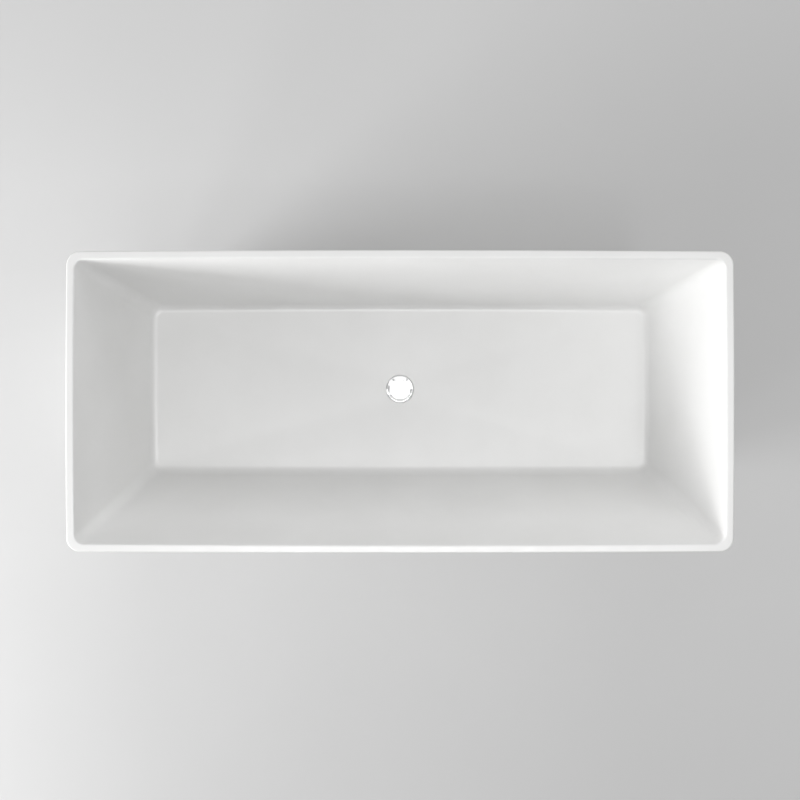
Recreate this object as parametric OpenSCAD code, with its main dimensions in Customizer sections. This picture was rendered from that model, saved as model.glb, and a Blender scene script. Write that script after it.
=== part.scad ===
// Freestanding double-skinned bathtub on a levelled steel frame, with push-to-open waste and shallow trap.
// Millimetres, +Z up. Origin on the floor under the middle of the drain. +X runs along the tub.

/* [Tub] */
// Overall length over the rim
tub_l = 1700; // [1500:10:1900]
// Overall width over the rim
tub_w = 770; // [700:10:900]
// Height of the rim above the floor
tub_h = 580; // [540:5:650]
// Length of the outside at floor level
base_l = 1450; // [1380:10:1500]
// Width of the outside at floor level
base_w = 500; // [480:5:560]
// Width of the flat rim between its outer edge and the bathing opening
rim_w = 23; // [21:0.5:30]
// Radius of the rounded outer corners
outer_corner_r = 35; // [25:1:60]
// Radius of the corners of the bathing space at the rim
inner_corner_r = 24; // [16:1:30]
// Radius of the corners of the bathing space just above the floor
floor_corner_r = 40; // [32:1:50]
// How far the long sides swell outwards at mid length
long_side_bow = 3; // [0:0.5:6]
// How far the short sides swell outwards at mid width
short_side_bow = 2; // [0:0.5:4]

/* [Bathing space] */
// Height of the bathing floor above the room floor, at the drain
floor_z = 140; // [138:1:160]
// How far the bathing floor falls from its edges to the drain
floor_fall = 4; // [2:1:8]
// Length of the flat bathing floor, to where the walls would meet it
floor_l = 1433; // [1400:1:1440]
// Width of the flat bathing floor, to where the walls would meet it
floor_w = 484; // [470:1:490]
// Radius of the sweep from the floor up into the walls
floor_fillet_r = 25; // [15:1:35]

/* [Skins] */
// Level thickness of the inner skin's walls
basin_skin = 9; // [8:0.5:10]
// Thickness of the bathing floor
floor_skin = 10; // [10:0.5:12]
// Level thickness of the outer skin
shell_skin = 8; // [7:0.5:9]
// Height of the turned-down rim edge that hides the bond line
rim_edge_h = 22; // [18:1:30]
// Gap left between the outer skin and the room floor
shadow_gap = 8; // [6:1:12]

/* [Frame] */
// Width of the square steel tube
rail_w = 30; // [25:1:35]
// Height of the square steel tube
rail_h = 25; // [22:1:28]
// Wall of the square steel tube
rail_wall = 2; // [1.5:0.5:2.5]
// Length of the two long rails
rail_l = 1280; // [1200:10:1300]
// Distance between the centre lines of the two long rails
rail_spacing = 340; // [320:5:360]
// Distance from the middle to the inner cross rails
mid_cross_x = 190; // [160:5:240]
// Thickness of the board under the bathing floor
board_t = 15; // [12:1:18]

/* [Levelling feet] */
// Distance from the middle foot to the end feet
foot_pitch = 560; // [500:10:580]
// Radius of the threaded stems
stem_r = 6; // [5:0.5:6]
// Radius of the foot pads
pad_r = 26; // [20:1:28]
// Height of the foot pads
pad_h = 14; // [12:1:16]
// How far a foot can be screwed up from where it stands
foot_up = 8; // [4:1:8]
// Width across flats of the hexagon nuts
nut_af = 19; // [17:1:21]

/* [Waste] */
// Radius of the visible waste flange
flange_r = 39.5; // [36:0.5:41]
// Radius of the push plug
plug_r = 27.3; // [25:0.1:27.5]
// Outer radius of the waste tail
tail_r = 23; // [22:0.5:23.5]
// Bore radius of the waste tail
tail_bore_r = 20; // [18:0.5:20]
// Radius of the hole in the bathing floor
floor_hole_r = 25; // [24.5:0.5:27]
// How far the plug rises when it is opened
plug_travel = 9; // [6:0.5:9]

/* [Trap] */
// Outer radius of the trap bowl
bowl_r = 52; // [48:1:56]
// Outer radius of the outlet pipe
pipe_r = 20; // [20:0.5:20]
// Height of the outlet pipe's axis above the floor
outlet_z = 56; // [54:1:58]
// How far the outlet pipe reaches from the middle of the tub
pipe_end_x = 220; // [200:5:260]

/* [Hidden] */
$fn = 64;

cast_white = "white";
chrome = "silver";
zinc = "gainsboro";
rubber = "dimgray";
plastic = "whitesmoke";
timber = "burlywood";

rim_hx = tub_l / 2;
rim_hy = tub_w / 2;
opening_hx = rim_hx - rim_w;
opening_hy = rim_hy - rim_w;
floor_edge_z = floor_z + floor_fall;
bond_z = tub_h - rim_edge_h;
floor_under_z = floor_z - floor_skin;
rail_top_z = floor_under_z - board_t;
rail_z = rail_top_z - rail_h;
rail_y = rail_spacing / 2;
end_cross_x = rail_l / 2 - rail_w;
foot_xs = [-foot_pitch, 0, foot_pitch];
foot_ys = [-rail_y, rail_y];
tab_xs = [-400, -90, 90, 400];
tab_size = 30;
tab_t = 3;
screw_r = 2;
block_w = 40;

// ---- Outlines ----

// Half length and half width of the bathing space at height z, and of the outside at height z
function inner_half(z) = [
    floor_l / 2 + (z - floor_edge_z) * (opening_hx - floor_l / 2) / (tub_h - floor_edge_z),
    floor_w / 2 + (z - floor_edge_z) * (opening_hy - floor_w / 2) / (tub_h - floor_edge_z)
];
function outer_half(z) = [
    base_l / 2 + z * (rim_hx - base_l / 2) / tub_h,
    base_w / 2 + z * (rim_hy - base_w / 2) / tub_h
];

// A rounded rectangle whose sides swell a little, as points: h is [half length, half width]
corner_steps = 6;
side_steps = 8;
side_ts = [for (i = [1:side_steps - 1]) 1 - 2 * i / side_steps];
function side_bow(t, bow) = bow * (1 - t * t);
function corner_points(cx, cy, r, from) = [
    for (i = [0:corner_steps]) let (a = from + 90 * i / corner_steps) [cx + r * cos(a), cy + r * sin(a)]
];
function outline(h, r) =
    let (
        sx = h[0] - short_side_bow,
        sy = h[1] - long_side_bow,
        cx = sx - r,
        cy = sy - r
    )
    concat(
        corner_points(cx, cy, r, 0),
        [for (t = side_ts) [cx * t, sy + side_bow(t, long_side_bow)]],
        corner_points(-cx, cy, r, 90),
        [for (t = side_ts) [-sx - side_bow(t, short_side_bow), cy * t]],
        corner_points(-cx, -cy, r, 180),
        [for (t = side_ts) [-cx * t, -sy - side_bow(t, long_side_bow)]],
        corner_points(cx, -cy, r, 270),
        [for (t = side_ts) [sx + side_bow(t, short_side_bow), -cy * t]]
    );

// A solid skinned over rings given from the bottom up, each [z, [half length, half width], corner radius]
module loft(rings) {
    n = len(outline(rings[0][1], rings[0][2]));
    last = len(rings) - 1;
    points = [for (ring = rings) for (p = outline(ring[1], ring[2])) [p[0], p[1], ring[0]]];
    walls = [
        for (k = [0:last - 1]) for (i = [0:n - 1])
            let (j = (i + 1) % n) [k * n + i, (k + 1) * n + i, (k + 1) * n + j, k * n + j]
    ];
    bottom = [[for (i = [0:n - 1]) i]];
    top = [[for (i = [n - 1:-1:0]) last * n + i]];
    polyhedron(points = points, faces = concat(bottom, walls, top), convexity = 4);
}

// A flat ring about the Z axis
module ring(r_out, r_in, z0, z1) {
    translate([0, 0, z0]) difference() {
        cylinder(h = z1 - z0, r = r_out);
        translate([0, 0, -1]) cylinder(h = z1 - z0 + 2, r = r_in);
    }
}

// A hexagon nut with a plain bore, its lower face at z0
module hex_nut(af, h, bore_r, z0) {
    translate([0, 0, z0]) difference() {
        cylinder(h = h, r = af / 2 / cos(30), $fn = 6);
        translate([0, 0, -1]) cylinder(h = h + 2, r = bore_r);
    }
}

// ---- Cast skins ----

wall_angle = atan((opening_hy - floor_w / 2) / (tub_h - floor_edge_z));
fillet_steps = 5;
rim_round = 6;
edge_round = 4;
drain_seat_depth = 4.5;
drain_seat_r = flange_r + 0.8;
drain_flat = 60;

// The sweep from the floor into the walls, as rings; grow moves it outwards for the skin's outer side
function sweep_rings(r, bottom_z, grow) = [
    for (k = [0:fillet_steps])
        let (
            a = -90 + k * (90 - wall_angle) / fillet_steps,
            z = bottom_z + r + r * sin(a),
            inset = r / cos(wall_angle) - r * cos(a),
            h = inner_half(bottom_z + r)
        )
        [z, [h[0] - inset + grow, h[1] - inset + grow], floor_corner_r + grow - inset]
];

module bathing_space() {
    loft(concat(
        [[floor_z, [drain_flat, drain_flat], drain_flat - 5]],
        sweep_rings(floor_fillet_r, floor_edge_z, 0),
        [
            [tub_h - rim_round, inner_half(tub_h - rim_round), inner_corner_r],
            [tub_h - rim_round / 4, inner_half(tub_h) + [1, 1] * rim_round / 4, inner_corner_r + 1],
            [tub_h + 1, inner_half(tub_h) + [1, 1] * rim_round, inner_corner_r + 2]
        ]
    ));
}

module inner_basin() {
    color(cast_white) difference() {
        loft(concat(
            sweep_rings(floor_fillet_r + basin_skin, floor_under_z, basin_skin),
            [
                [bond_z, inner_half(bond_z) + [1, 1] * basin_skin, inner_corner_r + basin_skin],
                [bond_z, outer_half(bond_z), outer_corner_r],
                [tub_h - edge_round, outer_half(tub_h), outer_corner_r],
                [tub_h - edge_round / 4, outer_half(tub_h) - [1, 1] * edge_round / 4, outer_corner_r - 1],
                [tub_h, outer_half(tub_h) - [1, 1] * edge_round, outer_corner_r - edge_round]
            ]
        ));
        bathing_space();
        translate([0, 0, floor_z - drain_seat_depth]) cylinder(h = drain_seat_depth + 1, r = drain_seat_r);
        translate([0, 0, floor_under_z - 1]) cylinder(h = floor_skin + 2, r = floor_hole_r);
    }
}

module shell_space() {
    loft([
        [shadow_gap - 1, outer_half(shadow_gap - 1) - [1, 1] * shell_skin, outer_corner_r - shell_skin],
        [bond_z + 1, outer_half(bond_z + 1) - [1, 1] * shell_skin, outer_corner_r - shell_skin]
    ]);
}

module outer_shell() {
    color(cast_white) difference() {
        loft([
            [shadow_gap, outer_half(shadow_gap) - [1, 1] * 1.5, outer_corner_r - 1.5],
            [shadow_gap + 1.5, outer_half(shadow_gap), outer_corner_r],
            [bond_z, outer_half(bond_z), outer_corner_r]
        ]);
        shell_space();
    }
}

// ---- Board and frame ----

board_hx = 690;
board_hy = 215;
board_hole_r = 55;

module support_board() {
    color(timber) difference() {
        translate([0, 0, rail_top_z]) linear_extrude(board_t) difference() {
            square([2 * board_hx, 2 * board_hy], center = true);
            circle(r = board_hole_r);
        }
        for (x = tab_xs, side = [-1, 1])
            translate([x, side * (rail_y - rail_w / 2 - tab_size / 2), rail_top_z - 1])
                cylinder(h = board_t, r = screw_r);
    }
}

// A square tube of length l along X, its underside at rail_z, centred on the origin
module square_tube(l) {
    translate([-l / 2, -rail_w / 2, rail_z]) difference() {
        cube([l, rail_w, rail_h]);
        translate([-1, rail_wall, rail_wall])
            cube([l + 2, rail_w - 2 * rail_wall, rail_h - 2 * rail_wall]);
    }
}

module long_rail(side) {
    color(zinc) difference() {
        translate([0, side * rail_y, 0]) square_tube(rail_l);
        for (x = foot_xs)
            translate([x, side * rail_y, rail_z - 1]) cylinder(h = rail_wall + 2, r = stem_r + 0.5);
    }
}

module cross_rail(x) {
    color(zinc) translate([x, 0, 0]) rotate([0, 0, 90]) square_tube(rail_spacing - rail_w);
}

module rail_end_caps() {
    cap_t = 2;
    plug_l = 12;
    color(rubber) for (end = [-1, 1], y = foot_ys) {
        translate([end * (rail_l / 2 + cap_t / 2), y, rail_z + rail_h / 2])
            cube([cap_t, rail_w, rail_h], center = true);
        translate([end * (rail_l / 2 - plug_l / 2), y, rail_z + rail_h / 2])
            cube([plug_l, rail_w - 2 * rail_wall, rail_h - 2 * rail_wall], center = true);
    }
}

module frame_tabs() {
    color(zinc) for (x = tab_xs, side = [-1, 1])
        translate([x, side * (rail_y - rail_w / 2 - tab_size / 2), rail_top_z - tab_t]) difference() {
            translate([-tab_size / 2, -tab_size / 2, 0]) cube([tab_size, tab_size, tab_t]);
            translate([0, 0, -1]) cylinder(h = tab_t + 2, r = screw_r + 0.5);
        }
}

module tab_screws() {
    head_h = 3;
    grip = 13;
    color(zinc) for (x = tab_xs, side = [-1, 1])
        translate([x, side * (rail_y - rail_w / 2 - tab_size / 2), rail_top_z - tab_t - head_h]) {
            difference() {
                cylinder(h = head_h, r = 4.5);
                translate([0, 0, -1]) cylinder(h = 2.5, r = 2.2, $fn = 6);
            }
            cylinder(h = head_h + tab_t + grip, r = screw_r);
        }
}

// Timber blocks glued between the frame and the outer skin
module skirt_blocks() {
    color(timber) intersection() {
        shell_space();
        union() {
            for (x = [-450, -150, 150, 450], side = [-1, 1])
                translate([x - block_w / 2, side > 0 ? rail_y + rail_w / 2 : -rim_hy, rail_z])
                    cube([block_w, rim_hy - rail_y - rail_w / 2, rail_h]);
            for (end = [-1, 1], y = [-70, 70])
                translate([end > 0 ? end_cross_x + rail_w / 2 : -rim_hx, y - block_w / 2, rail_z])
                    cube([rim_hx - end_cross_x - rail_w / 2, block_w, rail_h]);
        }
    }
}

// ---- Levelling feet ----

weld_nut_h = 10;
lock_nut_h = 8;
stem_top_z = rail_top_z - rail_wall - foot_up - 2;
stem_foot_z = 6;
thread_fit = 0.05;

module weld_nuts() {
    color(zinc) for (x = foot_xs, y = foot_ys)
        translate([x, y, 0]) hex_nut(nut_af, weld_nut_h, stem_r + thread_fit, rail_z - weld_nut_h);
}

module lock_nuts() {
    color(zinc) for (x = foot_xs, y = foot_ys)
        translate([x, y, 0])
            hex_nut(nut_af, lock_nut_h, stem_r + thread_fit, rail_z - weld_nut_h - lock_nut_h);
}

// A threaded stem with the hexagon that a spanner turns, column is 0 to 2 from the left
module foot_stem(column, side) {
    hex_h = 7;
    color(zinc) translate([foot_xs[column], side * rail_y, 0]) {
        translate([0, 0, stem_foot_z]) cylinder(h = stem_top_z - 1 - stem_foot_z, r = stem_r);
        translate([0, 0, stem_top_z - 1]) cylinder(h = 1, r1 = stem_r, r2 = stem_r - 1);
        translate([0, 0, pad_h]) cylinder(h = hex_h, r = nut_af / 2 / cos(30), $fn = 6);
    }
}

module foot_pad(column, side) {
    lip = 2;
    color(rubber) translate([foot_xs[column], side * rail_y, 0]) rotate_extrude() polygon([
        [0, 0], [pad_r - lip / 2, 0], [pad_r, lip / 2], [pad_r, 5], [pad_r - 10, pad_h],
        [stem_r, pad_h], [stem_r, stem_foot_z], [0, stem_foot_z]
    ]);
}

// ---- Waste ----

seat_z = floor_z - 1.5;
gasket_t = 1.5;
flange_under_z = floor_z - drain_seat_depth + gasket_t;
flange_top_z = floor_z + 1.5;
tail_end_z = 82;
cartridge_r = 9;
cartridge_z0 = 104;
cartridge_z1 = 130;
rod_r = 4;

module waste_body() {
    web_t = 3;
    web_z = 116;
    web_h = 8;
    color(chrome) {
        rotate_extrude() polygon([
            [tail_bore_r, tail_end_z], [tail_r, tail_end_z], [tail_r, flange_under_z],
            [flange_r, flange_under_z], [flange_r, floor_z], [flange_r - 1, flange_top_z - 0.5],
            [flange_r - 3, flange_top_z], [plug_r + 2, flange_top_z], [plug_r + 1, flange_top_z - 1],
            [plug_r + 1, seat_z], [tail_bore_r, seat_z]
        ]);
        difference() {
            union() {
                ring(cartridge_r + 2.5, cartridge_r, web_z, web_z + web_h);
                for (a = [0, 120, 240])
                    rotate([0, 0, a]) translate([cartridge_r + 0.5, -web_t / 2, web_z])
                        cube([tail_bore_r - cartridge_r + 1, web_t, web_h]);
            }
            translate([0, 0, web_z - 1]) cylinder(h = web_h + 2, r = cartridge_r);
        }
    }
}

module upper_gasket() {
    color(rubber) ring(flange_r - 2, tail_r + 0.5, floor_z - drain_seat_depth, flange_under_z);
}

module lower_gasket() {
    color(rubber) ring(34, tail_r + 0.2, floor_under_z - 6, floor_under_z);
}

module back_nut() {
    color(chrome) hex_nut(60, 10, tail_r + 0.1, floor_under_z - 16);
}

module plug_cap() {
    skirt_z = seat_z + 2;
    crown_z = floor_z + 6.5;
    edge_z = floor_z + 3.3;
    boss_r = 8;
    dome_steps = 8;
    crown = [for (k = [dome_steps:-1:0]) let (r = (plug_r - 1.2) * k / dome_steps)
        [r, crown_z - (crown_z - edge_z - 0.8) * pow(k / dome_steps, 2)]];
    color(chrome) rotate_extrude() polygon(concat(
        [[0, 137], [rod_r, 137], [rod_r, cartridge_z1 + 0.6], [boss_r, cartridge_z1 + 0.6], [boss_r, skirt_z],
            [plug_r - 1, skirt_z], [plug_r, skirt_z + 0.8], [plug_r, edge_z]],
        crown
    ));
}

module plug_seal() {
    color(rubber) ring(25, 8, seat_z + 0.05, seat_z + 2);
}

module plug_stem() {
    collar_z = cartridge_z1 - plug_travel - 5;
    color(zinc) {
        translate([0, 0, 107]) cylinder(h = 30, r = rod_r - 0.05);
        translate([0, 0, collar_z]) cylinder(h = 2, r = 7.2);
    }
}

module plug_cartridge() {
    wall = 1.5;
    color(plastic) rotate_extrude() polygon([
        [0, cartridge_z0], [cartridge_r, cartridge_z0], [cartridge_r, cartridge_z1], [rod_r, cartridge_z1],
        [rod_r, cartridge_z1 - 2], [cartridge_r - wall, cartridge_z1 - 2], [cartridge_r - wall, cartridge_z0 + 2],
        [0, cartridge_z0 + 2]
    ]);
}

// A compression spring: a round wire swept along a helix
spring_turns = 4;
spring_z0 = cartridge_z0 + 2;
spring_h = 10;
spring_r = 6;
wire_r = 0.8;
wire_sides = 8;
turn_steps = 20;

module plug_spring() {
    n = spring_turns * turn_steps;
    rise = spring_h - 2 * wire_r - 0.2;
    points = [
        for (k = [0:n]) for (i = [0:wire_sides - 1])
            let (
                a = 360 * k / turn_steps,
                b = 360 * i / wire_sides,
                r = spring_r + wire_r * cos(b)
            )
            [r * cos(a), r * sin(a), spring_z0 + 0.1 + wire_r + rise * k / n + wire_r * sin(b)]
    ];
    walls = [
        for (k = [0:n - 1]) for (i = [0:wire_sides - 1])
            let (j = (i + 1) % wire_sides)
            [k * wire_sides + i, k * wire_sides + j, (k + 1) * wire_sides + j, (k + 1) * wire_sides + i]
    ];
    start = [[for (i = [wire_sides - 1:-1:0]) i]];
    finish = [[for (i = [0:wire_sides - 1]) n * wire_sides + i]];
    color(zinc) polyhedron(points = points, faces = concat(start, walls, finish), convexity = 10);
}

// ---- Trap ----

trap_wall = 3;
bowl_z0 = 6;
bowl_z1 = 78;
neck_r = 28;
neck_top_z = 92;
dip_bore_r = tail_bore_r;
dip_end_z = 17;
collar_end_x = 88;
clean_cap_x = -(bowl_r + 10);
clean_r = 18;

module trap_inlet_nut() {
    color(plastic) rotate_extrude() polygon([
        [neck_r + 0.2, neck_top_z - 10], [33, neck_top_z - 10], [33, neck_top_z + 5], [31, neck_top_z + 7],
        [tail_r + 0.3, neck_top_z + 7], [tail_r + 0.3, neck_top_z + 4], [neck_r + 0.2, neck_top_z + 4]
    ]);
}

module trap_inlet_washer() {
    color(rubber) ring(neck_r - 0.2, tail_r + 0.05, neck_top_z, neck_top_z + 4);
}

// A tube lying along X at the outlet's height
module x_cylinder(x0, x1, r) {
    translate([x0, 0, outlet_z]) rotate([0, 90, 0]) cylinder(h = x1 - x0, r = r);
}

module trap_body() {
    inner_r = bowl_r - trap_wall;
    color(plastic) difference() {
        union() {
            difference() {
                union() {
                    translate([0, 0, bowl_z0]) cylinder(h = bowl_z1 - bowl_z0, r = bowl_r);
                    x_cylinder(bowl_r - 10, collar_end_x, pipe_r + 5);
                    x_cylinder(clean_cap_x + 3, 10 - bowl_r, clean_r + 3);
                }
                translate([0, 0, bowl_z0 + trap_wall])
                    cylinder(h = bowl_z1 - bowl_z0 - 2 * trap_wall, r = inner_r);
                x_cylinder(0, bowl_r + 10, pipe_r - 2);
                x_cylinder(bowl_r + 9, collar_end_x + 1, pipe_r + 0.2);
                x_cylinder(clean_cap_x, 0, clean_r);
            }
            translate([0, 0, bowl_z1 - trap_wall]) cylinder(h = neck_top_z - bowl_z1 + trap_wall, r = neck_r);
            translate([0, 0, dip_end_z]) cylinder(h = bowl_z1 - dip_end_z, r = dip_bore_r + 2);
        }
        translate([0, 0, dip_end_z - 1]) cylinder(h = neck_top_z, r = dip_bore_r);
        translate([0, 0, tail_end_z - 1]) cylinder(h = neck_top_z, r = tail_r + 0.3);
    }
}

module trap_clean_cap() {
    color(plastic) difference() {
        union() {
            x_cylinder(clean_cap_x - 4, clean_cap_x, 25);
            x_cylinder(clean_cap_x, clean_cap_x + 9, 25);
            translate([clean_cap_x - 9, -2.5, outlet_z - 15]) cube([6, 5, 30]);
        }
        x_cylinder(clean_cap_x, clean_cap_x + 10, clean_r + 3.2);
    }
}

module clean_cap_seal() {
    color(rubber) difference() {
        x_cylinder(clean_cap_x, clean_cap_x + 3, clean_r + 3);
        x_cylinder(clean_cap_x - 1, clean_cap_x + 4, clean_r - 2);
    }
}

module outlet_nut() {
    color(plastic) difference() {
        x_cylinder(collar_end_x - 12, collar_end_x + 8, pipe_r + 10);
        x_cylinder(collar_end_x - 13, collar_end_x + 4, pipe_r + 5.2);
        x_cylinder(collar_end_x, collar_end_x + 9, pipe_r + 0.3);
    }
}

module outlet_washer() {
    color(rubber) difference() {
        x_cylinder(collar_end_x, collar_end_x + 4, pipe_r + 5);
        x_cylinder(collar_end_x - 1, collar_end_x + 5, pipe_r + 0.05);
    }
}

// The pipe has a raised bead that stops it, and the house's drain fitting, against the nut
module outlet_pipe() {
    bead_x = collar_end_x + 10;
    color(plastic) difference() {
        union() {
            x_cylinder(bowl_r + 12, pipe_end_x, pipe_r);
            x_cylinder(bead_x, bead_x + 2, pipe_r + 1.5);
        }
        x_cylinder(bowl_r + 11, pipe_end_x + 1, pipe_r - 2);
    }
}

inner_basin();
outer_shell();
support_board();
long_rail(-1);  // front_rail
long_rail(1);  // back_rail
cross_rail(-end_cross_x);  // left_end_rail
cross_rail(-mid_cross_x);  // left_mid_rail
cross_rail(mid_cross_x);  // right_mid_rail
cross_rail(end_cross_x);  // right_end_rail
rail_end_caps();
frame_tabs();
tab_screws();
skirt_blocks();
weld_nuts();
lock_nuts();
foot_stem(0, -1);  // stem_front_left
foot_stem(1, -1);  // stem_front_mid
foot_stem(2, -1);  // stem_front_right
foot_stem(0, 1);  // stem_back_left
foot_stem(1, 1);  // stem_back_mid
foot_stem(2, 1);  // stem_back_right
foot_pad(0, -1);  // pad_front_left
foot_pad(1, -1);  // pad_front_mid
foot_pad(2, -1);  // pad_front_right
foot_pad(0, 1);  // pad_back_left
foot_pad(1, 1);  // pad_back_mid
foot_pad(2, 1);  // pad_back_right
waste_body();
upper_gasket();
lower_gasket();
back_nut();
plug_cap();
plug_seal();
plug_stem();
plug_cartridge();
plug_spring();
trap_inlet_nut();
trap_inlet_washer();
trap_body();
trap_clean_cap();
clean_cap_seal();
outlet_nut();
outlet_washer();
outlet_pipe();
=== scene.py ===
"""A freestanding bathtub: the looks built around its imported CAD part.

Metres, +Z up, with the drain on the Z axis.
"""
import math

import bmesh
import bpy
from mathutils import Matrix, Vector


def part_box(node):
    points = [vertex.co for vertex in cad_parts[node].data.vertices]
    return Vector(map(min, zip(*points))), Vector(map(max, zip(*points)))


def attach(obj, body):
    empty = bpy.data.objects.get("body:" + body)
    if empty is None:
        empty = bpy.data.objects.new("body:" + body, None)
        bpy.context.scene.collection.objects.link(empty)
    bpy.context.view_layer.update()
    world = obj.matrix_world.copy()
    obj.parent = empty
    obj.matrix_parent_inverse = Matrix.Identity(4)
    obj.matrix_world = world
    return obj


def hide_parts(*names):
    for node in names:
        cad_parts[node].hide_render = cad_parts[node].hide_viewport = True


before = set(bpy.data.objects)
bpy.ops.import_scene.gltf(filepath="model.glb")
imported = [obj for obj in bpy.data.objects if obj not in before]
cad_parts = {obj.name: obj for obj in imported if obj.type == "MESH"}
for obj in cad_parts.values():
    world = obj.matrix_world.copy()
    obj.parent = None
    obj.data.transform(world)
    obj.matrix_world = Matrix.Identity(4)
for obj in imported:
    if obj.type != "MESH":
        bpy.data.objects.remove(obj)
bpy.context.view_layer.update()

MM = 0.001


def box_mm(node):
    """The low and the high corner of a CAD node, in millimetres."""
    lo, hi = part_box(node)
    return lo / MM, hi / MM


# ---- Driving sizes, in millimetres ----

tub_lo, tub_hi = box_mm("inner_basin")
shell_lo, shell_hi = box_mm("outer_shell")

RIM_HX, RIM_HY, TUB_H = tub_hi
BASE_HX, BASE_HY = 725, 250
RIM_W = 23
BOND_Z = shell_hi.z
SHADOW_GAP = shell_lo.z
OUTER_CORNER_R = 35
INNER_CORNER_R = 24
FLOOR_CORNER_R = 40
LONG_SIDE_BOW = 3
SHORT_SIDE_BOW = 2

DRAIN_Z = 140
FLOOR_FALL = 4
FLOOR_EDGE_Z = DRAIN_Z + FLOOR_FALL
FLOOR_HX, FLOOR_HY = 716.5, 242
FLOOR_FILLET_R = 25
FLOOR_UNDER_Z = tub_lo.z
BASIN_SKIN = 9
SHELL_SKIN = 8
RIM_INNER_ROUND = 6
RIM_OUTER_ROUND = 4
SEAM_ROUND = 0.9
SEAT_DEPTH = 4.5
FLOOR_HOLE_R = 25

FLANGE_R = 39.5
PLUG_R = 27.3
TAIL_R = 23
TAIL_BORE_R = 20

FEET = [f"{side}_{column}" for side in ("front", "back") for column in ("left", "mid", "right")]
THREAD_PITCH = 1.75
SHARP_DEG = 32


# ---- Mesh helpers: a solid is a pair of points and faces ----

def piece(name, solid, material, weighted=True):
    """A mesh object from points in millimetres, with smooth shading that breaks at sharp edges."""
    verts, faces = solid
    mesh = bpy.data.meshes.new(name)
    mesh.from_pydata([(x * MM, y * MM, z * MM) for x, y, z in verts], [], faces)
    bm = bmesh.new()
    bm.from_mesh(mesh)
    bmesh.ops.recalc_face_normals(bm, faces=bm.faces)
    bm.to_mesh(mesh)
    bm.free()
    mesh.shade_smooth()
    mesh.set_sharp_from_angle(angle=math.radians(SHARP_DEG))
    mesh.materials.append(material)
    obj = bpy.data.objects.new(name, mesh)
    bpy.context.scene.collection.objects.link(obj)
    if weighted:
        normals = obj.modifiers.new("normals", "WEIGHTED_NORMAL")
        normals.keep_sharp = True
        normals.weight = 80
    return obj


def stand_in(name, solid, material, node, body, weighted=True):
    """A new piece in the place of a CAD node, on the node's body."""
    obj = piece(name, solid, MATERIALS[material], weighted)
    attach(obj, body)
    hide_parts(node)


def skin(rings, closed=True):
    """Points and faces of a surface through rings of equal length. A ring of one point is a pole."""
    verts, starts = [], []
    for ring in rings:
        starts.append(len(verts))
        verts.extend(ring)
    faces = []
    pairs = list(zip(range(len(rings)), range(1, len(rings))))
    if closed:
        pairs.append((len(rings) - 1, 0))
    for a, b in pairs:
        n_a, n_b = len(rings[a]), len(rings[b])
        n = max(n_a, n_b)
        for i in range(n):
            j = (i + 1) % n
            face = [starts[a] + i % n_a, starts[a] + j % n_a, starts[b] + j % n_b, starts[b] + i % n_b]
            face = list(dict.fromkeys(face))
            if len(face) > 2:
                faces.append(face)
    return verts, faces


def arc(cx, cy, r, start_deg, end_deg, steps):
    """Points along an arc in the plane, both ends included."""
    return [
        (
            cx + r * math.cos(math.radians(start_deg + (end_deg - start_deg) * k / steps)),
            cy + r * math.sin(math.radians(start_deg + (end_deg - start_deg) * k / steps)),
        )
        for k in range(steps + 1)
    ]


def rounded(corners, steps=5):
    """A closed outline from (x, y, radius) corners, each one rounded by an arc where its radius isn't 0."""
    points = []
    n = len(corners)
    for i, (x, y, r) in enumerate(corners):
        if r == 0:
            points.append((x, y))
            continue
        here = Vector((x, y))
        before = (Vector(corners[i - 1][:2]) - here).normalized()
        after = (Vector(corners[(i + 1) % n][:2]) - here).normalized()
        half = before.angle(after) / 2
        reach = r / math.tan(half)
        centre = here + (before + after).normalized() * (r / math.sin(half))
        first, last = here + before * reach - centre, here + after * reach - centre
        points += [tuple(centre + first.slerp(last, k / steps)) for k in range(steps + 1)]
    return points


def lathe(outline, segments=96, flute=None):
    """An outline of (radius, height) turned about the Z axis. A flute adds to the radius, point by point."""
    rings = []
    for r, z in outline:
        if r < 1e-6:
            rings.append([(0, 0, z)])
            continue
        ring = []
        for k in range(segments):
            a = 2 * math.pi * k / segments
            out = r + (flute(a, r, z) if flute else 0)
            ring.append((out * math.cos(a), out * math.sin(a), z))
        rings.append(ring)
    closed = not (len(rings[0]) == 1 and len(rings[-1]) == 1)
    return skin(rings, closed)


def lying(solid, height):
    """A solid with its upright axis laid along +X, at a height above the floor."""
    verts, faces = solid
    return [(z, y, height - x) for x, y, z in verts], faces


def joined(*solids):
    """Several solids as one."""
    verts, faces = [], []
    for v, f in solids:
        start = len(verts)
        verts.extend(v)
        faces.extend([[start + i for i in face] for face in f])
    return verts, faces


def moved(solid, x=0, y=0, z=0):
    verts, faces = solid
    return [(a + x, b + y, c + z) for a, b, c in verts], faces


CORNER_STEPS = 12
LONG_STEPS = 30
SHORT_STEPS = 16
ROUND_STEPS = 6
SMALL_ROUND_STEPS = 4
FILLET_STEPS = 10
WALL_RINGS = 12
SHELL_RINGS = 14
SHELL_INNER_RINGS = 8


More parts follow.
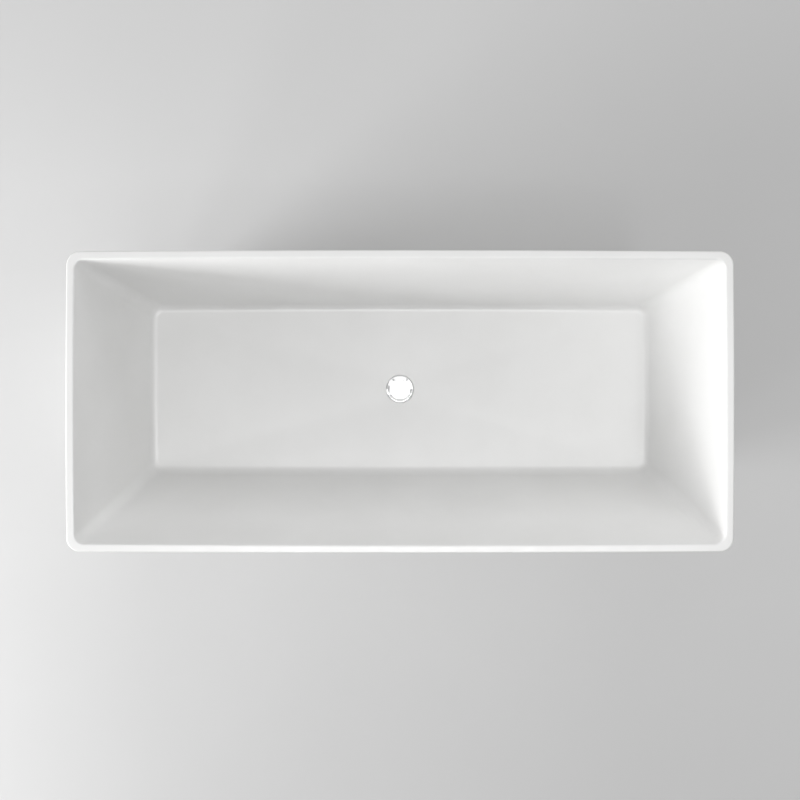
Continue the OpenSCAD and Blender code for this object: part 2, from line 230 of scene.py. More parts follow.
def tub_ring(half, corner_r, z, swell=1):
    """One level ring of the tub: a rounded rectangle whose sides swell a little at their middle."""
    sx = half[0] - SHORT_SIDE_BOW * swell
    sy = half[1] - LONG_SIDE_BOW * swell
    cx, cy = sx - corner_r, sy - corner_r
    ring = []
    corners = [(cx, cy, 0), (-cx, cy, 90), (-cx, -cy, 180), (cx, -cy, 270)]
    for i, (x, y, start) in enumerate(corners):
        ring += arc(x, y, corner_r, start, start + 90, CORNER_STEPS)
        on_long_side = i % 2 == 0
        steps = LONG_STEPS if on_long_side else SHORT_STEPS
        for k in range(1, steps):
            t = 1 - 2 * k / steps
            if on_long_side:
                bow = LONG_SIDE_BOW * swell * (1 - t * t)
                ring.append((x * t, math.copysign(sy + bow, y)))
            else:
                bow = SHORT_SIDE_BOW * swell * (1 - t * t)
                ring.append((math.copysign(sx + bow, x), y * t))
    return [(x, y, z) for x, y in ring]


def circle_like(ring, half, r, z):
    """A circle with one point for each point of a tub ring, so that the two can be joined by a surface."""
    angles = [math.atan2(y / half[1], x / half[0]) for x, y, _ in ring]
    return [(r * math.cos(a), r * math.sin(a), z) for a in angles]


def between(ring_a, ring_b, share, z):
    return [(a[0] + (b[0] - a[0]) * share, a[1] + (b[1] - a[1]) * share, z) for a, b in zip(ring_a, ring_b)]


def mix(a, b, t):
    return a + (b - a) * t


def inner_half(z):
    """Half length and half width of the bathing space at a height."""
    t = (z - FLOOR_EDGE_Z) / (TUB_H - FLOOR_EDGE_Z)
    return mix(FLOOR_HX, RIM_HX - RIM_W, t), mix(FLOOR_HY, RIM_HY - RIM_W, t)


def outer_half(z):
    """Half length and half width of the outside at a height."""
    return mix(BASE_HX, RIM_HX, z / TUB_H), mix(BASE_HY, RIM_HY, z / TUB_H)


def grown(half, by):
    return half[0] + by, half[1] + by


# ---- Materials: every one is made of nodes, in the object's own coordinates ----

class Nodes:
    """A short way to write a material's nodes."""

    def __init__(self, name):
        self.material = bpy.data.materials.new(name)
        self.material.use_nodes = True
        self.tree = self.material.node_tree
        self.shader = self.tree.nodes["Principled BSDF"]
        self.place = self.tree.nodes.new("ShaderNodeTexCoord").outputs["Object"]

    def add(self, kind, **values):
        made = self.tree.nodes.new("ShaderNode" + kind)
        for key, value in values.items():
            if key in made.inputs:
                made.inputs[key].default_value = value
            else:
                setattr(made, key, value)
        return made

    def link(self, output, target):
        self.tree.links.new(output, target)

    def noise(self, scale, detail=3, stretch=(1, 1, 1)):
        """Noise from 0 to 1. A stretch above 1 makes it finer along that axis."""
        mapping = self.add("Mapping")
        mapping.inputs["Scale"].default_value = stretch
        self.link(self.place, mapping.inputs["Vector"])
        texture = self.add("TexNoise", Scale=scale, Detail=detail)
        self.link(mapping.outputs["Vector"], texture.inputs["Vector"])
        return texture.outputs["Fac"]

    def remap(self, value, low, high, start=0.3, end=0.7):
        """Carries value's start to end onto low to high, held at both."""
        made = self.add("MapRange", clamp=True)
        self.link(value, made.inputs["Value"])
        for key, number in (("From Min", start), ("From Max", end), ("To Min", low), ("To Max", high)):
            made.inputs[key].default_value = number
        return made.outputs["Result"]

    def blend(self, value, low, high, start=0.35, end=0.65):
        """A colour that goes from low to high as value goes from start to end."""
        ramp = self.add("ValToRGB")
        ramp.color_ramp.elements[0].position = start
        ramp.color_ramp.elements[0].color = (*low, 1)
        ramp.color_ramp.elements[1].position = end
        ramp.color_ramp.elements[1].color = (*high, 1)
        self.link(value, ramp.inputs["Fac"])
        return ramp.outputs["Color"]

    def bump(self, value, depth_mm, normal=None):
        made = self.add("Bump", Strength=1.0, Distance=depth_mm * MM)
        self.link(value, made.inputs["Height"])
        if normal:
            self.link(normal, made.inputs["Normal"])
        return made.outputs["Normal"]

    def finish(self, color=None, roughness=None, normal=None, **uniform):
        for output, name in ((color, "Base Color"), (roughness, "Roughness"), (normal, "Normal")):
            if output:
                self.link(output, self.shader.inputs[name])
        for key, value in uniform.items():
            self.shader.inputs[key.replace("_", " ")].default_value = value
        return self.material


def cast_stone():
    """Satin white cast resin with mineral filler: faint cloudiness, fine grain, a hand-rubbed surface."""
    n = Nodes("cast_stone")
    clouds = n.noise(5, detail=4)
    color = n.blend(clouds, (0.845, 0.845, 0.838), (0.87, 0.87, 0.864))
    rubbed = n.noise(38, detail=5)
    grain = n.noise(1600, detail=2)
    normal = n.bump(grain, 0.012, n.bump(n.noise(24, detail=2), 0.05))
    return n.finish(color, n.remap(rubbed, 0.30, 0.38), normal)


def chrome():
    n = Nodes("polished_chrome")
    smudge = n.noise(90, detail=4)
    fine = n.noise(900, detail=2, stretch=(1, 1, 6))
    color = n.blend(smudge, (0.90, 0.905, 0.91), (0.94, 0.94, 0.945))
    return n.finish(color, n.remap(smudge, 0.07, 0.12), n.bump(fine, 0.001), Metallic=1.0)


def galvanised():
    """Hot-dip zinc: crystal spangles a few millimetres across."""
    n = Nodes("galvanised_steel")
    cells = n.add("TexVoronoi", Scale=140.0)
    n.link(n.place, cells.inputs["Vector"])
    split = n.add("SeparateColor")
    n.link(cells.outputs["Color"], split.inputs["Color"])
    color = n.blend(split.outputs["Red"], (0.44, 0.455, 0.47), (0.62, 0.63, 0.64), 0.0, 1.0)
    roughness = n.remap(split.outputs["Green"], 0.34, 0.56, 0.0, 1.0)
    return n.finish(color, roughness, n.bump(n.noise(700), 0.02), Metallic=0.9)


def metal(name, low, high, rough_low, rough_high, stretch=(1, 1, 1)):
    """Plated or plain metal with a directional machining grain."""
    n = Nodes(name)
    color = n.blend(n.noise(60, detail=4), low, high)
    grain = n.noise(500, detail=3, stretch=stretch)
    return n.finish(color, n.remap(grain, rough_low, rough_high), n.bump(grain, 0.008), Metallic=1.0)


def moulded(name, low, high, rough_low, rough_high, grain_mm):
    """Moulded rubber or plastic with a fine skin texture."""
    n = Nodes(name)
    color = n.blend(n.noise(45, detail=4), low, high)
    roughness = n.remap(n.noise(120), rough_low, rough_high)
    return n.finish(color, roughness, n.bump(n.noise(1400, detail=2), grain_mm))


def wood(name, early, late, across):
    """Sawn timber or a board whose grain runs along X, with rings or plies across it."""
    n = Nodes(name)
    fibres = n.noise(14, detail=6, stretch=(0.5, across, across))
    pores = n.noise(160, detail=3, stretch=(0.15, 3, 3))
    color = n.blend(fibres, early, late, 0.38, 0.66)
    return n.finish(color, n.remap(pores, 0.55, 0.8), n.bump(pores, 0.12))


MATERIALS = {
    "cast": cast_stone(),
    "chrome": chrome(),
    "galvanised": galvanised(),
    "zinc": metal("zinc_plated", (0.60, 0.61, 0.62), (0.74, 0.74, 0.73), 0.22, 0.4),
    "spring": metal("spring_steel", (0.36, 0.36, 0.37), (0.50, 0.50, 0.50), 0.25, 0.4),
    "brass": metal("plain_brass", (0.70, 0.52, 0.22), (0.84, 0.66, 0.34), 0.2, 0.36, (1, 1, 4)),
    "rubber": moulded("black_rubber", (0.018, 0.018, 0.018), (0.035, 0.034, 0.033), 0.55, 0.8, 0.03),
    "black_plastic": moulded("black_plastic", (0.016, 0.016, 0.017), (0.028, 0.028, 0.029), 0.38, 0.55, 0.02),
    "white_plastic": moulded("white_plastic", (0.76, 0.76, 0.74), (0.82, 0.82, 0.80), 0.28, 0.45, 0.01),
    "pipe_plastic": moulded("pipe_plastic", (0.74, 0.74, 0.72), (0.80, 0.80, 0.78), 0.22, 0.36, 0.006),
    "board": wood("birch_board", (0.68, 0.52, 0.34), (0.50, 0.35, 0.20), 6),
    "timber": wood("pine_block", (0.74, 0.57, 0.36), (0.58, 0.40, 0.22), 9),
}


# ---- The two cast skins ----

WALL_ANGLE = math.degrees(math.atan((RIM_HY - RIM_W - FLOOR_HY) / (TUB_H - FLOOR_EDGE_Z)))


def sweep_rings(r, bottom_z, grow):
    """The curve from the floor up into the walls."""
    half = inner_half(bottom_z + r)
    rings = []
    for k in range(FILLET_STEPS + 1):
        a = math.radians(-90 + k * (90 - WALL_ANGLE) / FILLET_STEPS)
        inset = r / math.cos(math.radians(WALL_ANGLE)) - r * math.cos(a) - grow
        corner = FLOOR_CORNER_R - inset
        rings.append(tub_ring(grown(half, -inset), corner, bottom_z + r + r * math.sin(a)))
    return rings


def wall_rings(z0, z1, grow):
    """The sloping walls between two heights, both left out."""
    rings = []
    for k in range(1, WALL_RINGS):
        z = mix(z0, z1, k / WALL_RINGS)
        t = (z - FLOOR_EDGE_Z) / (TUB_H - FLOOR_EDGE_Z)
        corner = mix(FLOOR_CORNER_R, INNER_CORNER_R, t) + grow
        rings.append(tub_ring(grown(inner_half(z), grow), corner, z))
    return rings


def basin_rings():
    """From the drain hole over the bathing floor, up the walls, over the rim and back under the floor."""
    sweep = sweep_rings(FLOOR_FILLET_R, FLOOR_EDGE_Z, 0)
    under_sweep = sweep_rings(FLOOR_FILLET_R + BASIN_SKIN, FLOOR_UNDER_Z, BASIN_SKIN)
    floor_edge, under_edge = sweep[0], under_sweep[0]
    half = inner_half(FLOOR_EDGE_Z)
    seat_z = DRAIN_Z - SEAT_DEPTH
    seat_r = FLANGE_R + 0.8
    seat = [
        (FLOOR_HOLE_R, FLOOR_UNDER_Z), (FLOOR_HOLE_R, seat_z - 0.6), (FLOOR_HOLE_R + 0.6, seat_z),
        (seat_r - 0.5, seat_z), (seat_r, seat_z + 0.5), (seat_r, DRAIN_Z - 0.8),
        (seat_r + 0.25, DRAIN_Z - 0.25), (seat_r + 0.8, DRAIN_Z), (seat_r + 3, DRAIN_Z),
    ]
    rings = [circle_like(floor_edge, half, r, z) for r, z in seat]
    edge = rings[-1]
    for share in (0.02, 0.05, 0.1, 0.18, 0.28, 0.4, 0.54, 0.68, 0.82, 0.93):
        rings.append(between(edge, floor_edge, share, DRAIN_Z + FLOOR_FALL * share))
    rings += sweep

    rings += wall_rings(sweep[-1][0][2], TUB_H - RIM_INNER_ROUND, 0)
    lip = inner_half(TUB_H)
    for k in range(ROUND_STEPS + 1):
        a = math.radians(180 - WALL_ANGLE + (WALL_ANGLE - 90) * k / ROUND_STEPS)
        shift = RIM_INNER_ROUND * (1 + math.cos(a))
        z = TUB_H - RIM_INNER_ROUND + RIM_INNER_ROUND * math.sin(a)
        rings.append(tub_ring(grown(lip, shift), INNER_CORNER_R + shift, z))
    width = RIM_W - RIM_INNER_ROUND - RIM_OUTER_ROUND
    for share in (0.35, 0.7):
        shift = RIM_INNER_ROUND + width * share
        corner = mix(INNER_CORNER_R + RIM_INNER_ROUND, OUTER_CORNER_R - RIM_OUTER_ROUND, share)
        rings.append(tub_ring(grown(lip, shift), corner, TUB_H))
    for k in range(ROUND_STEPS + 1):
        a = math.radians(90 - 90 * k / ROUND_STEPS)
        shift = RIM_OUTER_ROUND * (1 - math.cos(a))
        z = TUB_H - RIM_OUTER_ROUND * (1 - math.sin(a))
        rings.append(tub_ring(grown(outer_half(z), -shift), OUTER_CORNER_R - shift, z))
    rings += seam_rings(BOND_Z, below=False)
    tuck = grown(inner_half(BOND_Z), BASIN_SKIN)
    rings.append(tub_ring(grown(tuck, 1.5), INNER_CORNER_R + BASIN_SKIN + 1.5, BOND_Z))
    rings.append(tub_ring(tuck, INNER_CORNER_R + BASIN_SKIN, BOND_Z - 1.5))
    rings += wall_rings(BOND_Z - 1.5, under_sweep[-1][0][2], BASIN_SKIN)
    rings += reversed(under_sweep)
    hole = circle_like(under_edge, half, FLOOR_HOLE_R, FLOOR_UNDER_Z)
    for share in (0.85, 0.6, 0.35, 0.15, 0.04):
        rings.append(between(hole, under_edge, share, FLOOR_UNDER_Z))
    return rings


def seam_rings(z, below):
    """The small rounding just below or just above the bond line, from outside in."""
    half = outer_half(z)
    side = -1 if below else 1
    rings = []
    for k in range(SMALL_ROUND_STEPS + 1):
        a = math.radians(90 * k / SMALL_ROUND_STEPS)
        shift = SEAM_ROUND * (1 - math.cos(a))
        height = z + side * SEAM_ROUND * (1 - math.sin(a))
        rings.append(tub_ring(grown(half, -shift), OUTER_CORNER_R - shift, height))
    return rings


def make_basin():
    stand_in("basin", skin(basin_rings()), "cast", "inner_basin", "tub")


def make_shell():
    """The outer skin, open underneath, with a thicker rounded foot."""
    foot_r = 2.0
    inner_r = OUTER_CORNER_R - SHELL_SKIN
    rings = []
    for k in range(SMALL_ROUND_STEPS + 1):
        a = math.radians(-90 + 90 * k / SMALL_ROUND_STEPS)
        z = SHADOW_GAP + foot_r * (1 + math.sin(a))
        shift = foot_r * (1 - math.cos(a))
        rings.append(tub_ring(grown(outer_half(z), -shift), OUTER_CORNER_R - shift, z))
    for k in range(1, SHELL_RINGS):
        z = mix(SHADOW_GAP + foot_r, BOND_Z - SEAM_ROUND, k / SHELL_RINGS)
        rings.append(tub_ring(outer_half(z), OUTER_CORNER_R, z))
    rings += seam_rings(BOND_Z, below=True)
    inner_top = grown(outer_half(BOND_Z), -SHELL_SKIN)
    rings.append(tub_ring(inner_top, inner_r, BOND_Z))
    for k in range(1, SHELL_INNER_RINGS):
        z = mix(BOND_Z, SHADOW_GAP + foot_r, k / SHELL_INNER_RINGS)
        rings.append(tub_ring(grown(outer_half(z), -SHELL_SKIN), inner_r, z))
    bottom_in = grown(outer_half(SHADOW_GAP), -SHELL_SKIN)
    rings.append(tub_ring(bottom_in, inner_r, SHADOW_GAP + foot_r))
    rings.append(tub_ring(grown(bottom_in, foot_r * 0.3), inner_r, SHADOW_GAP + foot_r * 0.3))
    rings.append(tub_ring(grown(bottom_in, foot_r), inner_r + 1, SHADOW_GAP))
    stand_in("skirt", skin(rings), "cast", "outer_shell", "tub")


# ---- Waste ----

def box_solid(lo, hi, bevel=0.5):
    """A box with bevelled edges."""
    bm = bmesh.new()
    bmesh.ops.create_cube(bm, size=1)
    for v in bm.verts:
        v.co = Vector([lo[i] if v.co[i] < 0 else hi[i] for i in range(3)])
    bmesh.ops.bevel(bm, geom=bm.edges, offset=bevel, segments=2, profile=0.5, affect="EDGES")
    verts = [tuple(v.co) for v in bm.verts]
    faces = [[v.index for v in f.verts] for f in bm.faces]
    bm.free()
    return verts, faces


def turned_about_z(solid, deg):
    c, s = math.cos(math.radians(deg)), math.sin(math.radians(deg))
    verts, faces = solid
    return [(x * c - y * s, x * s + y * c, z) for x, y, z in verts], faces


def make_waste():
    """The chromed flange with its tail, and the spider that holds the plug's cartridge."""
    top_z = DRAIN_Z + 1.5
    under_z = DRAIN_Z - SEAT_DEPTH + 1.5
    seat_z = DRAIN_Z - 1.5
    tail_z = box_mm("waste_body")[0].z
    body = lathe(rounded([
        (TAIL_BORE_R, tail_z, 0.4), (TAIL_R, tail_z, 0.8), (TAIL_R, under_z, 0.3),
        (FLANGE_R, under_z, 0.3), (FLANGE_R, DRAIN_Z + 0.2, 1.0), (FLANGE_R - 3.2, top_z, 3.5),
        (PLUG_R + 1, top_z, 0.6), (PLUG_R + 1, seat_z, 0.3), (TAIL_BORE_R, seat_z, 0.8),
    ]), segments=160)
    web_lo, web_hi, web_t = 116, 124, 3
    hub_r, hub_outer_r = 9, 11.5
    hub = lathe(rounded([
        (hub_r, web_lo, 0.3), (hub_outer_r, web_lo, 0.6), (hub_outer_r, web_hi, 0.6), (hub_r, web_hi, 0.3),
    ], steps=3), segments=48)
    arm = box_solid((hub_r + 1, -web_t / 2, web_lo + 0.4), (TAIL_BORE_R + 0.6, web_t / 2, web_hi - 0.4))
    arms = [turned_about_z(arm, a) for a in (0, 120, 240)]
    stand_in("waste_flange", joined(body, hub, *arms), "chrome", "waste_body", "tub")


def make_plug():
    """The domed push cap."""
    skirt_z = DRAIN_Z + 0.5
    edge_z = DRAIN_Z + 3.3
    crown_z = DRAIN_Z + 6.5
    boss_r, boss_z, rod_r, rod_z = 8, 130.6, 4, 137
    crown_steps = 12
    crown = [
        (PLUG_R * k / crown_steps, crown_z - (crown_z - edge_z - 0.6) * (k / crown_steps) ** 2)
        for k in range(crown_steps - 1, 0, -1)
    ]
    edge = rounded([
        (0.0, rod_z, 0), (rod_r, rod_z, 0), (rod_r, boss_z, 0.3), (boss_r, boss_z, 0.5),
        (boss_r, skirt_z, 0.4), (PLUG_R, skirt_z, 0.5), (PLUG_R, edge_z + 0.4, 1.1),
    ])
    cap = lathe(edge + crown + [(0.0, crown_z)], segments=160)
    stand_in("plug_top", cap, "chrome", "plug_cap", "plug")


def hex_nut(af, h, bore_r, z0, segments=72):
    """A hexagon nut with chamfered corners and a countersunk bore."""
    corner_r = af / 2 / math.cos(math.radians(30))
    face_r = af / 2 * 0.97
    chamfer = math.tan(math.radians(30))

    def hexagon(z_of):
        ring = []
        for k in range(segments):
            a = 2 * math.pi * k / segments
            local = (a % (math.pi / 3)) - math.pi / 6
            r = min(corner_r, af / 2 / math.cos(local))
            ring.append((r * math.cos(a), r * math.sin(a), z_of(r)))
        return ring

    def circle(r, z):
        angles = [2 * math.pi * k / segments for k in range(segments)]
        return [(r * math.cos(a), r * math.sin(a), z) for a in angles]

    z1 = z0 + h
    rings = [
        circle(bore_r, z0 + 0.5), circle(bore_r, z1 - 0.5), circle(bore_r + 0.5, z1), circle(face_r, z1),
        hexagon(lambda r: z1 - (r - face_r) * chamfer), hexagon(lambda r: z0 + (r - face_r) * chamfer),
        circle(face_r, z0), circle(bore_r + 0.5, z0),
    ]
    return skin(rings)


def make_back_nut():
    lo, hi = box_mm("back_nut")
    nut = hex_nut(hi.y - lo.y, hi.z - lo.z, TAIL_R + 0.1, lo.z, segments=144)
    stand_in("waste_back_nut", nut, "brass", "back_nut", "tub")


# ---- Trap ----

def ribs(count, depth, r_min, z_lo, z_hi):
    """A lathe flute that raises rounded grip ribs on the outermost wall."""
    def flute(a, r, z):
        if r < r_min or not z_lo <= z <= z_hi:
            return 0
        return depth * max(0.0, math.cos(count * a)) ** 0.6
    return flute


def make_trap_nuts():
    lo, hi = box_mm("trap_inlet_nut")
    bore_r, nut_r, neck_r = 28.2, 32, TAIL_R + 0.3
    outline = rounded([
        (bore_r, lo.z, 0.4), (nut_r, lo.z, 0.8), (nut_r, hi.z - 1.5, 2.5), (TAIL_R + 3, hi.z, 1.2),
        (neck_r, hi.z, 0.4), (neck_r, hi.z - 3, 0.2), (bore_r, hi.z - 3, 0.4),
    ])
    nut = lathe(outline, segments=240, flute=ribs(20, 1.0, nut_r - 0.5, lo.z + 1, hi.z - 4))
    stand_in("inlet_nut", nut, "white_plastic", "trap_inlet_nut", "tub")

    lo, hi = box_mm("outlet_nut")
    length = hi.x - lo.x
    bore_r, nut_r, neck_r = 25.2, 29, 20.3
    outline = rounded([
        (bore_r, 0, 0.4), (nut_r, 0, 0.8), (nut_r, length - 1.5, 2.5), (24, length, 1.2),
        (neck_r, length, 0.4), (neck_r, length - 4, 0.2), (bore_r, length - 4, 0.4),
    ])
    nut = lathe(outline, segments=216, flute=ribs(18, 1.0, nut_r - 0.5, 1.5, length - 4))
    nut = moved(lying(nut, (lo.z + hi.z) / 2), x=lo.x)
    stand_in("pipe_nut", nut, "white_plastic", "outlet_nut", "tub")


def make_outlet_pipe():
    """The pipe out of the trap, with a low bead where a socket pushed over it stops."""
    lo, hi = box_mm("outlet_pipe")
    length = hi.x - lo.x
    bead_x, bead_end_x = 98 - lo.x, 100 - lo.x
    pipe_r, bore_r, bead_r = 20, 18, 21.5
    outline = rounded([
        (bore_r, 0, 0.3), (pipe_r, 0, 1.2), (pipe_r, bead_x, 0.3), (bead_r, bead_x, 0.6),
        (bead_r, bead_end_x, 0.6), (pipe_r, bead_end_x, 0.3), (pipe_r, length, 0.5), (bore_r, length, 0.4),
    ])
    pipe = moved(lying(lathe(outline), (lo.z + hi.z) / 2), x=lo.x)
    stand_in("drain_pipe", pipe, "pipe_plastic", "outlet_pipe", "tub")


# ---- Frame ----

def tube_rings(length, width, height, wall):
    """A square tube along X with rounded corners, from its middle."""
    def section(half_w, half_h, r, x):
        ring = []
        for sy, sz, start in ((1, 1, 0), (-1, 1, 90), (-1, -1, 180), (1, -1, 270)):
            for y, z in arc(sy * (half_w - r), sz * (half_h - r), r, start, start + 90, 5):
                ring.append((x, y, z))
        return ring

    w, h, end = width / 2, height / 2, length / 2
    outer_r, inner_r, soft = 3.0, 1.2, 0.4
    return [
        section(w - soft, h - soft, outer_r - soft, -end), section(w, h, outer_r, -end + soft),
        section(w, h, outer_r, 0), section(w, h, outer_r, end - soft),
        section(w - soft, h - soft, outer_r - soft, end),
        section(w - wall, h - wall, inner_r, end), section(w - wall, h - wall, inner_r, 0),
        section(w - wall, h - wall, inner_r, -end),
    ]


RAIL_WALL = 2
WELD_R = 2.2
WELD_PITCH = 3.2
WELD_CLEAR = 8


def weld_bead(length):
    """A rippled bead along Y, from its middle."""
    steps = round(length / WELD_PITCH * 6)
    around_bead = [math.pi * 2 * i / 10 for i in range(10)]
    rings = [[(0, -length / 2, 0)]]
    for k in range(1, steps):
        y = -length / 2 + length * k / steps
        ends = min(1.0, math.sqrt(max(0.0, 1 - abs(2 * k / steps - 1) ** 8)))
        size = WELD_R * ends * (1 + 0.13 * math.cos(2 * math.pi * y / WELD_PITCH))
        rings.append([(size * math.cos(a), y, size * math.sin(a)) for a in around_bead])
    rings.append([(0, length / 2, 0)])
    return skin(rings, closed=False)


def end_welds(length, width, height):
    """The beads on both sides and underneath, at both ends of a tube along X."""
    side_verts, side_faces = weld_bead(height - WELD_CLEAR)
    under_verts, under_faces = weld_bead(width - WELD_CLEAR)
    beads = []
    for x in (-length / 2, length / 2):
        for y in (-width / 2, width / 2):
            beads.append(([(x + a, y + c, b) for a, b, c in side_verts], side_faces))
        beads.append(([(x + a, b, -height / 2 + c) for a, b, c in under_verts], under_faces))
    return beads


def make_rails():
    for side in ("front", "back"):
        lo, hi = box_mm(side + "_rail")
        size = hi - lo
        tube = moved(skin(tube_rings(size.x, size.y, size.z, RAIL_WALL)), *((lo + hi) / 2))
        stand_in(side + "_long_tube", tube, "galvanised", side + "_rail", "tub")
    for name in ("left_end", "left_mid", "right_mid", "right_end"):
        lo, hi = box_mm(name + "_rail")
        size = hi - lo
        tube = skin(tube_rings(size.y, size.x, size.z, RAIL_WALL))
        verts, faces = joined(tube, *end_welds(size.y, size.x, size.z))
        across = [(-y, x, z) for x, y, z in verts]
        tube = moved((across, faces), *((lo + hi) / 2))
        stand_in(name + "_cross_tube", tube, "galvanised", name + "_rail", "tub")


# ---- Levelling feet ----

STEM_R = 6
PAD_H = 14


def threaded(r, z0, z1, pitch, depth, segments=36, per_pitch=8):
    """A rod with a real helical thread and a chamfered tip."""
    steps = round((z1 - z0) / pitch * per_pitch)
    rings = [[(0, 0, z0)]]
    for k in range(steps + 1):
        z = z0 + (z1 - z0) * k / steps
        ring = []
        for i in range(segments):
            a = 2 * math.pi * i / segments
            phase = ((z - z0) / pitch - i / segments) % 1
            groove = depth * (1 - abs(2 * phase - 1)) * 1.15
            near_end = min(z - z0, z1 - z) / 1.5
            limit = r - max(0.0, 1 - near_end) * depth * 1.3
            out = min(r - min(groove, depth), limit)
            ring.append((out * math.cos(a), out * math.sin(a), z))
        rings.append(ring)
    rings.append([(0, 0, z1)])
    return skin(rings, closed=False)


def foot_place(foot):
    lo, hi = box_mm("stem_" + foot)
    return (lo.x + hi.x) / 2, (lo.y + hi.y) / 2


def make_feet():
    """Each foot is a zinc-plated stem with a hexagon to turn it, and a ribbed rubber pad."""
    lo, hi = box_mm("stem_" + FEET[0])
    hex_h, hex_af = 7, hi.y - lo.y
    rod = threaded(STEM_R, lo.z, hi.z, THREAD_PITCH, 0.95)
    stem = joined(rod, hex_nut(hex_af, hex_h, STEM_R - 0.5, PAD_H))
    pad_lo, pad_hi = box_mm("pad_" + FEET[0])
    pad_r = (pad_hi.x - pad_lo.x) / 2
    outline = rounded([
        (0.0, 0.8, 0), (pad_r - 8, 0.8, 0), (pad_r - 7.2, 0, 0), (pad_r - 0.2, 0, 1.2),
        (pad_r - 0.2, 5.2, 1.5), (pad_r - 10, PAD_H, 1.8), (STEM_R, PAD_H, 0.4), (STEM_R, 6, 0), (0.0, 6, 0),
    ])
    pad = lathe(outline, segments=120, flute=ribs(24, -0.8, pad_r - 1.6, 1.4, 6.0))
    for foot in FEET:
        x, y = foot_place(foot)
        body = "foot_" + foot
        stand_in("threaded_stem_" + foot, moved(stem, x, y), "zinc", "stem_" + foot, body,
                 weighted=False)
        stand_in("rubber_pad_" + foot, moved(pad, x, y), "rubber", "pad_" + foot, body)


def make_frame_nuts():
    nut_af = 19
    for node, name in (("weld_nuts", "welded_nuts"), ("lock_nuts", "locking_nuts")):
        lo, hi = box_mm(node)
        nut = hex_nut(nut_af, hi.z - lo.z, STEM_R + 0.05, lo.z)
        nuts = joined(*[moved(nut, *foot_place(foot)) for foot in FEET])
        stand_in(name, nuts, "zinc", node, "tub")


def make_tab_screws():
    """Pan-head wood screws with a hexagon socket, up through the tabs into the board."""
    lo, hi = box_mm("tab_screws")
    head_h, head_r, shank_r = 3, 4.5, 2
    socket_r, socket_depth = 2.2, 1.5

    def socket(a, r, z):
        if not socket_r - 0.2 < r < socket_r + 0.1:
            return 0
        return socket_r * (math.cos(math.pi / 6) / math.cos(a % (math.pi / 3) - math.pi / 6) - 1)

    head = lathe(rounded([
        (0.0, socket_depth, 0), (socket_r - 0.05, socket_depth, 0), (socket_r, 0, 0), (head_r - 0.8, 0, 0.6),
        (head_r, 1.6, 0.8), (head_r, head_h, 0.1), (0.0, head_h, 0),
    ]), segments=48, flute=socket)
    shank = threaded(shank_r, head_h, hi.z - lo.z, 1.8, 0.55, segments=20, per_pitch=6)
    screw = moved(joined(head, shank), z=lo.z)
    rows = (lo.y + head_r, hi.y - head_r)
    screws = joined(*[moved(screw, x, y) for x in tab_columns() for y in rows])
    stand_in("board_screws", screws, "zinc", "tab_screws", "tub")


def tab_columns():
    """The places of the tabs along X, read from the CAD node's own points."""
    half_tab = 15
    found = sorted({round(v.co.x / MM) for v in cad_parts["frame_tabs"].data.vertices})
    return [x + half_tab for x in found if x + 2 * half_tab in found]


# ---- Nodes whose CAD shape is right: softened edges and a real material ----

def soften(node, material, width_mm, limit_deg=40):
    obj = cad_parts[node]
    obj.data.materials.clear()
    obj.data.materials.append(MATERIALS[material])
    weld = obj.modifiers.new("weld", "WELD")
    weld.merge_threshold = 1e-6
    bevel = obj.modifiers.new("edges", "BEVEL")
    bevel.width = width_mm * MM
    bevel.segments = 2
    bevel.limit_method = "ANGLE"
    bevel.angle_limit = math.radians(limit_deg)
    bevel.harden_normals = True


KEPT_NODES = [
    ("support_board", "board", 0.8), ("skirt_blocks", "timber", 0.8), ("rail_end_caps", "black_plastic", 0.6),
    ("frame_tabs", "galvanised", 0.4), ("trap_body", "white_plastic", 0.8),
    ("trap_clean_cap", "white_plastic", 0.7),
    ("clean_cap_seal", "rubber", 0.3), ("upper_gasket", "rubber", 0.2), ("lower_gasket", "rubber", 0.8),
    ("trap_inlet_washer", "rubber", 0.3), ("outlet_washer", "rubber", 0.3), ("plug_seal", "rubber", 0.3),
    ("plug_stem", "brass", 0.2), ("plug_cartridge", "white_plastic", 0.3), ("plug_spring", "spring", 0.0),
]


# ---- Stage, light and camera ----

def make_stage():
    floor = bpy.data.meshes.new("studio_floor")
    half = 12
    corners = [(-half, -half, 0), (half, -half, 0), (half, half, 0), (-half, half, 0)]
    floor.from_pydata(corners, [], [(0, 1, 2, 3)])
    paint = Nodes("studio_floor")
    color = paint.blend(paint.noise(0.7), (0.60, 0.60, 0.60), (0.62, 0.62, 0.62))
    floor.materials.append(paint.finish(color, Roughness=0.7))
    obj = bpy.data.objects.new("studio_floor", floor)
    bpy.context.scene.collection.objects.link(obj)


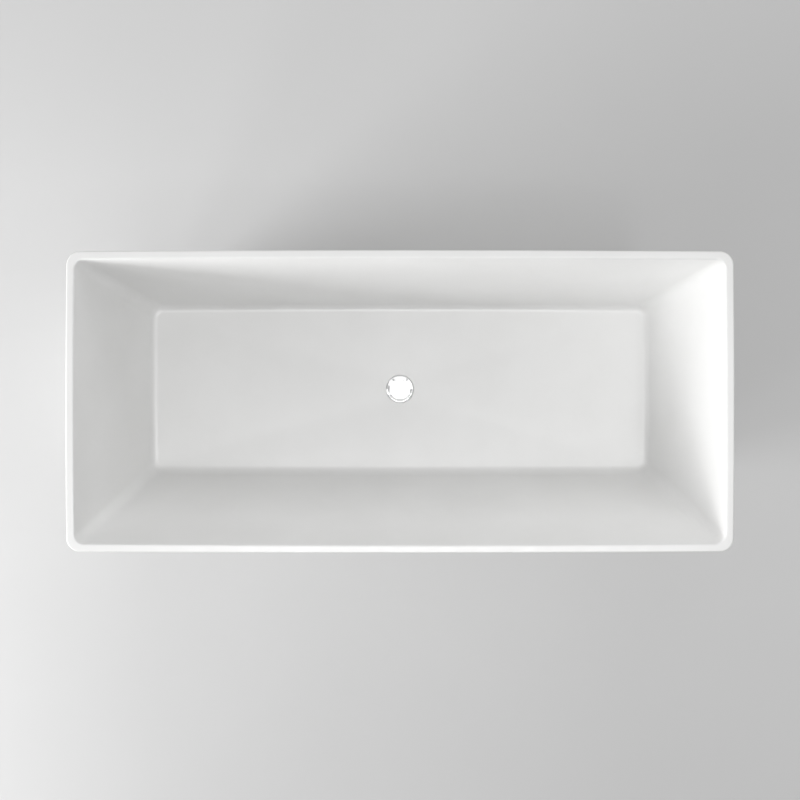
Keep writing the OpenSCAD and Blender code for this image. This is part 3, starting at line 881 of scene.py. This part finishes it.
def area_light(name, place, target, size, watts, only_reflected=False):
    """A panel that faces its target. One that is only reflected doesn't light matt surfaces."""
    light = bpy.data.lights.new(name, "AREA")
    light.shape = "RECTANGLE"
    light.size, light.size_y = size
    light.energy = watts
    obj = bpy.data.objects.new(name, light)
    obj.location = place
    obj.rotation_euler = (Vector(target) - Vector(place)).to_track_quat("-Z", "Y").to_euler()
    obj.visible_diffuse = not only_reflected
    bpy.context.scene.collection.objects.link(obj)


def around(azimuth, elevation, distance=4.5):
    """A place on a sphere around the middle of the tub's rim. Azimuth 0 is +X, 90 is +Y."""
    a, e = math.radians(azimuth), math.radians(elevation)
    return (
        distance * math.cos(e) * math.cos(a),
        distance * math.cos(e) * math.sin(a),
        0.5 + distance * math.sin(e),
    )


def make_lights():
    """A low panel at the left, soft ones around, and panels overhead that the rim and chrome reflect."""
    middle = (0, 0, 0.5)
    area_light("key_left", around(197.5, 10.5), middle, (1.9, 1.3), 184)
    area_light("fill_front_left", around(228, 21), middle, (0.9, 0.9), 23)
    area_light("panel_back", around(90, 23), middle, (2.4, 1.9), 46)
    area_light("fill_right", around(8, 33), middle, (1.5, 1.5), 11)
    area_light("strip_right", (2.05, -0.4, 5.0), (2.05, -0.4, 0), (0.7, 2.0), 30)
    area_light("strip_front", (0, -1.35, 5.0), (0, -1.35, 0), (3.0, 0.7), 135, only_reflected=True)
    area_light("ceiling", (0, 0, 4.6), (0, 0, 0), (9, 6), 187, only_reflected=True)
    world = bpy.data.worlds.new("soft_room")
    world.use_nodes = True
    background = world.node_tree.nodes["Background"]
    background.inputs["Color"].default_value = (1, 1, 1, 1)
    background.inputs["Strength"].default_value = 0.44
    bpy.context.scene.world = world
    bpy.context.scene.view_settings.view_transform = "Standard"


def make_camera():
    """Straight above, a little behind the tub's middle, with the frame shifted back over the tub."""
    data = bpy.data.cameras.new("camera")
    data.lens = 57.1
    data.sensor_width = 36
    data.shift_y = -0.13
    camera = bpy.data.objects.new("camera", data)
    camera.location = (0, 0.268, 3.8)
    camera.rotation_euler = (0, 0, 0)
    bpy.context.scene.collection.objects.link(camera)
    bpy.context.scene.camera = camera


make_basin()
make_shell()
make_waste()
make_plug()
make_back_nut()
make_trap_nuts()
make_outlet_pipe()
make_rails()
make_feet()
make_frame_nuts()
make_tab_screws()
for node, material, width in KEPT_NODES:
    soften(node, material, width)
make_stage()
make_lights()
make_camera()
